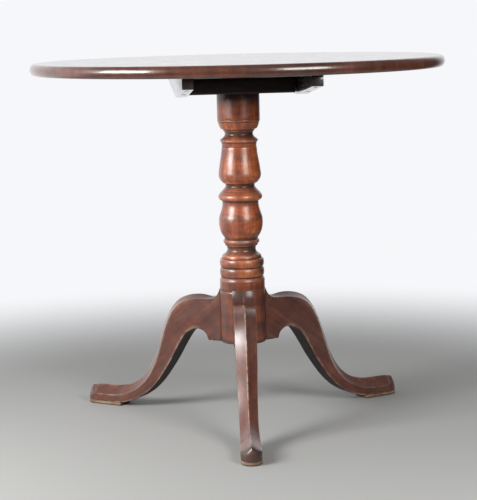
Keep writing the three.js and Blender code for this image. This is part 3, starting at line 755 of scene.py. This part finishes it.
def refined(name, node, material, body, bevel, segments=2):
    """A CAD node's own shape with rounded arrises, for square-cut wood and metal."""
    obj = linked(name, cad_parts[node].data.copy())
    bm = bmesh.new()
    bm.from_mesh(obj.data)
    bmesh.ops.remove_doubles(bm, verts=bm.verts, dist=WELD)
    bmesh.ops.dissolve_limit(bm, angle_limit=math.radians(1), verts=bm.verts, edges=bm.edges)
    bm.to_mesh(obj.data)
    bm.free()
    with_modifier(obj, "BEVEL", width=bevel * MM, segments=segments, limit_method="ANGLE",
                  angle_limit=BEVELLED_OVER)
    for mask in MASKS:
        obj.data.attributes.new(mask, "FLOAT", "POINT")
    cleaned(obj.data, 35)
    return registered(obj, material, body, [node])


refined("block", "tilt_block", block_wood, "stand", 0.8)
for side in ("left", "right"):
    refined(f"bearer_bar_{side}", f"bearer_{side}", bearer_wood, "top", 1.2, 3)
refined("brace_plate", "hub_brace", iron, "stand", 0.5)
refined("keeper", "keeper_plate", brass, "stand", 0.3)
refined("catch_body", "catch_case", brass, "top", 0.35)
refined("sliding_bolt", "catch_bolt", brass, "bolt", 0.5)

# ---------------------------------------------------------------- screws and small turned parts

def screw_mesh(name, head, length):
    """A slotted countersunk wood screw pointing up, from its head's radius and its length.

    The thread is turned, as rings.
    """
    shank = head * 0.5
    cone = head * 0.6 + 0.6
    profile = [(0, 0), (head - 0.25, 0), (head, 0.25), (head, 0.6), (shank, cone)]
    thread_from, thread_to = length * 0.45, length * 0.93
    profile.append((shank, thread_from))
    pitch = max(0.9, head * 0.3)
    turns = int((thread_to - thread_from) / pitch)
    for k in range(turns):
        at = thread_from + (k + 0.5) * pitch
        taper = 1 - 0.35 * max(0.0, (at - length * 0.7) / (length * 0.3))
        profile += [(shank * 0.72 * taper, at), (shank * 0.98 * taper, at + pitch * 0.5)]
    profile += [(shank * 0.3, length - 0.4), (0, length)]
    vertices, faces, _ = revolved(profile, 28)
    obj = linked(name, raw_mesh(name, vertices, faces))
    cleaned(obj.data, 35)
    slot_width, slot_depth = head * 0.2, head * 0.28
    bpy.ops.mesh.primitive_cube_add(size=1)
    cutter = bpy.context.active_object
    cutter.scale = (head * 3 * MM, slot_width * MM, 2 * slot_depth * MM)
    bpy.context.view_layer.update()
    with_modifier(obj, "BOOLEAN", object=cutter, operation="DIFFERENCE", solver="EXACT")
    result = obj.data
    for mask in MASKS:
        result.attributes.new(mask, "FLOAT", "POINT")
    cleaned(result, 35)
    bpy.data.objects.remove(obj)
    bpy.data.objects.remove(cutter)
    return result


rng = random.Random(11)


def screws(mesh, places, material, body, turn=None):
    """Copies of a screw at (piece name, CAD node, x, y, z), each with its slot at its own angle."""
    for name, node, x, y, z in places:
        obj = linked(name, mesh.copy())
        spin = Matrix.Rotation(rng.uniform(0, math.pi), 4, "Z")
        obj.matrix_world = Matrix.Translation((x * MM, y * MM, z * MM)) @ (turn or Matrix()) @ spin
        registered(obj, material, body, [node])


BRACE_BOTTOM, BRACE_SCREW_REACH = 152.3, 56
BEARER_SCREW_X, BEARER_SCREW_Z = 113.75, 669
BEARER_SCREW_Y = (-300, -190, 120, 300)
CATCH_SCREWS, CATCH_SCREW_Z = [(-18, 112), (-18, 154), (18, 112), (18, 154)], 685.5
KEEPER_SCREW_X, KEEPER_FACE_Y, KEEPER_SCREW_Z = 12, 96.9, 678
KNOB_RADIUS, KNOB_Y, KNOB_Z = 6, 140, 664.0

brace_places = [("hub_brace_screw", "brace_screw_hub", 0, 0, BRACE_BOTTOM)]
for number, side in enumerate(SIDES):
    spot = leg_place(number) @ Vector((BRACE_SCREW_REACH, 0, 0))
    brace_places.append((f"leg_brace_screw_{side}", f"brace_screw_{side}", spot.x, spot.y, BRACE_BOTTOM))
screws(screw_mesh("brace_screw_mesh", 4.0, 24), brace_places, iron, "stand")

bearer_places = [
    (f"bar_screw_{side}_{i + 1}", f"bearer_screw_{side}_{i + 1}", x, y, BEARER_SCREW_Z)
    for side, x in (("left", -BEARER_SCREW_X), ("right", BEARER_SCREW_X))
    for i, y in enumerate(BEARER_SCREW_Y)
]
screws(screw_mesh("bearer_screw_mesh", 4.4, 33), bearer_places, iron, "top")

catch_places = [(f"plate_screw_{i + 1}", f"catch_screw_{i + 1}", x, y, CATCH_SCREW_Z)
                for i, (x, y) in enumerate(CATCH_SCREWS)]
screws(screw_mesh("catch_screw_mesh", 2.4, 13), catch_places, brass, "top")

keeper_places = [
    (f"keeper_plate_screw_{side}", f"keeper_screw_{side}", x, KEEPER_FACE_Y, KEEPER_SCREW_Z)
    for side, x in (("left", -KEEPER_SCREW_X), ("right", KEEPER_SCREW_X))
]
screws(screw_mesh("keeper_screw_mesh", 2.4, 12), keeper_places, brass, "stand",
       Matrix.Rotation(math.pi / 2, 4, "X"))

knob_ball = [(KNOB_RADIUS * math.sin(a), KNOB_Z - KNOB_RADIUS * math.cos(a))
             for a in (math.pi * k / 20 for k in range(18))]
knob_stem = [(3.1, 669.3), (3.3, 670.2), (2.0, 670.9), (2.0, 677), (0, 677)]
knob = turned_piece("bolt_knob", [*knob_ball, *knob_stem], 40, brass, "bolt", ["catch_knob"])
knob.data.transform(Matrix.Translation((0, KNOB_Y * MM, 0)))

# ---------------------------------------------------------------- the top

NOSING_STEPS = 16
NOSING_DEPTH = 8.8
HALF_TOP = (TOP_HEIGHT - TOP_UNDERSIDE) / 2
FACE_RINGS = (0, 120, 260, 360)  # radii of the points on the flat faces

nosing = [(TOP_RADIUS - NOSING_DEPTH * (1 - math.cos(a)), TOP_UNDERSIDE + HALF_TOP * (1 + math.sin(a)))
          for a in (math.pi * k / NOSING_STEPS - math.pi / 2 for k in range(NOSING_STEPS + 1))]
top_profile = [*((r, TOP_UNDERSIDE) for r in FACE_RINGS), *nosing,
               *((r, TOP_HEIGHT) for r in reversed(FACE_RINGS))]
turned_piece("round_top", top_profile, 256, top_wood, "top", ["table_top"],
             mask_scale=2.5, sharp=60)

# ---------------------------------------------------------------- kept CAD nodes

for node in ("tenon_wedge", "pivot_pin_left", "pivot_pin_right"):
    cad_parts[node].data.materials.clear()
    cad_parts[node].data.materials.append(oak)

# ---------------------------------------------------------------- floor, light and camera

FLOOR_FADES = (0.62, 1.65)  # between these distances from the table's middle, in metres
# A wide bright patch lights the table from behind on the left, and the rest of the room only a little.
BRIGHT_SIDE = (-0.5, 0.82, 0.25)
PATCH_LIGHT = 1.0
FROM_BELOW, FROM_ABOVE = 0.03, 0.16


def floor():
    """A pale floor that fades out into the pale surround."""
    vertices, faces, _ = revolved([(r, 0) for r in (0, 600, 1500, 3000, 6000)], 96)
    obj = linked("floor", raw_mesh("floor", vertices, [face[::-1] for face in faces]))  # faces upwards
    look = Look("pale_floor")
    coords = look.object_coords()
    grain = look.noise(coords, scale=300, detail=3)
    look.set(Base_Color=look.mix(grain, rgb(0.35, 0.353, 0.35), rgb(0.40, 0.403, 0.40)), Roughness=0.9)
    look.set(Specular_IOR_Level=0.2)
    distance = look.add("ShaderNodeVectorMath", {0: coords}, operation="LENGTH").outputs["Value"]
    # Nothing of it shows from below.
    beneath = look.add("ShaderNodeNewGeometry").outputs["Backfacing"]
    look.set(Alpha=look.maths("MULTIPLY", look.span(distance, *FLOOR_FADES, 1.0, 0.0, smooth=True),
                              look.maths("SUBTRACT", 1.0, beneath)))
    obj.data.materials.append(look.material)


def surround():
    """The studio: seen white, and lighting the table brightly from behind, softly from above."""
    world = bpy.data.worlds.new("studio")
    bpy.context.scene.world = world
    world.use_nodes = True
    nodes, links = world.node_tree.nodes, world.node_tree.links
    nodes.clear()
    output = nodes.new("ShaderNodeOutputWorld")
    coords = nodes.new("ShaderNodeTexCoord")
    direction = nodes.new("ShaderNodeSeparateXYZ")
    links.new(coords.outputs["Generated"], direction.inputs[0])

    def span(value, *limits):
        node = nodes.new("ShaderNodeMapRange")
        node.interpolation_type = "SMOOTHSTEP"
        links.new(value, node.inputs[0])
        for socket, limit in zip(list(node.inputs)[1:5], limits):
            socket.default_value = limit
        return node.outputs[0]

    def maths(operation, a, b):
        node = nodes.new("ShaderNodeMath")
        node.operation = operation
        for socket, value in zip(node.inputs, (a, b)):
            if isinstance(value, bpy.types.NodeSocket):
                links.new(value, socket)
            else:
                socket.default_value = value
        return node.outputs[0]

    towards = nodes.new("ShaderNodeVectorMath")
    towards.operation = "DOT_PRODUCT"
    links.new(coords.outputs["Generated"], towards.inputs[0])
    towards.inputs[1].default_value = Vector(BRIGHT_SIDE).normalized()
    patch = maths("MULTIPLY", span(towards.outputs["Value"], 0.22, 0.62, 0.0, PATCH_LIGHT),
                  maths("MULTIPLY", span(direction.outputs[2], -0.75, -0.4, 0.0, 1.0),
                        span(direction.outputs[2], 0.35, 0.8, 1.0, 0.15)))
    room = span(direction.outputs[2], -0.05, 0.6, FROM_BELOW, FROM_ABOVE)
    lighting = nodes.new("ShaderNodeBackground")
    lighting.inputs[0].default_value = rgb(0.97, 0.98, 1.0)
    links.new(maths("ADD", patch, room), lighting.inputs[1])
    seen = nodes.new("ShaderNodeBackground")
    seen.inputs[0].default_value = rgb(0.925, 0.93, 0.955)
    path = nodes.new("ShaderNodeLightPath")
    mix = nodes.new("ShaderNodeMixShader")
    links.new(path.outputs["Is Camera Ray"], mix.inputs[0])
    links.new(lighting.outputs[0], mix.inputs[1])
    links.new(seen.outputs[0], mix.inputs[2])
    links.new(mix.outputs[0], output.inputs[0])


floor()
surround()

CAMERA_PLACE = Vector((-0.2598, -3.2004, 0.797))
CAMERA_HEADING = -0.0791  # from +Y towards -X, in radians
CAMERA_PITCH = 0.1425  # downwards
CAMERA_ROLL = -0.0239
SENSOR = 36
FOCAL_LENGTH = 118.8432
SOFTBOX_DISTANCE = 1.75
SOFTBOX_AIM = Vector((0, 0, 0.45))


def softbox(name, degrees, height, width, tall, watts):
    """A soft light, so many degrees round the table from the camera, counted anticlockwise from above."""
    heading = math.atan2(CAMERA_PLACE.y, CAMERA_PLACE.x) + math.radians(degrees)
    light = bpy.data.lights.new(name, "AREA")
    light.shape = "RECTANGLE"
    light.size, light.size_y = width, tall
    light.energy = watts
    light.color = (1.0, 0.985, 0.96)
    obj = linked(name, light)
    obj.location = (SOFTBOX_DISTANCE * math.cos(heading), SOFTBOX_DISTANCE * math.sin(heading), height)
    aim = SOFTBOX_AIM - Vector(obj.location)
    obj.rotation_euler = aim.to_track_quat("-Z", "Y").to_euler()


softbox("softbox_left_low", -57, 0.91, 0.80, 0.30, 27)
softbox("softbox_left_high", -57, 1.27, 0.80, 0.42, 18)
softbox("softbox_right_low", 33, 0.93, 0.72, 0.28, 11)
softbox("softbox_right_high", 33, 1.26, 0.72, 0.38, 10)


def add_camera():
    data = bpy.data.cameras.new("camera")
    data.sensor_width = SENSOR
    data.lens = FOCAL_LENGTH
    data.clip_end = 100
    forward = Vector((-math.sin(CAMERA_HEADING) * math.cos(CAMERA_PITCH),
                      math.cos(CAMERA_HEADING) * math.cos(CAMERA_PITCH), -math.sin(CAMERA_PITCH)))
    right = forward.cross(Vector((0, 0, 1))).normalized()
    up = right.cross(forward)
    rolled_right = math.cos(CAMERA_ROLL) * right + math.sin(CAMERA_ROLL) * up
    rolled_up = -math.sin(CAMERA_ROLL) * right + math.cos(CAMERA_ROLL) * up
    turn = Matrix((rolled_right, rolled_up, -forward)).transposed().to_4x4()
    obj = linked("camera", data)
    obj.matrix_world = Matrix.Translation(CAMERA_PLACE) @ turn
    bpy.context.scene.camera = obj


add_camera()
bpy.context.scene.view_settings.view_transform = "Standard"
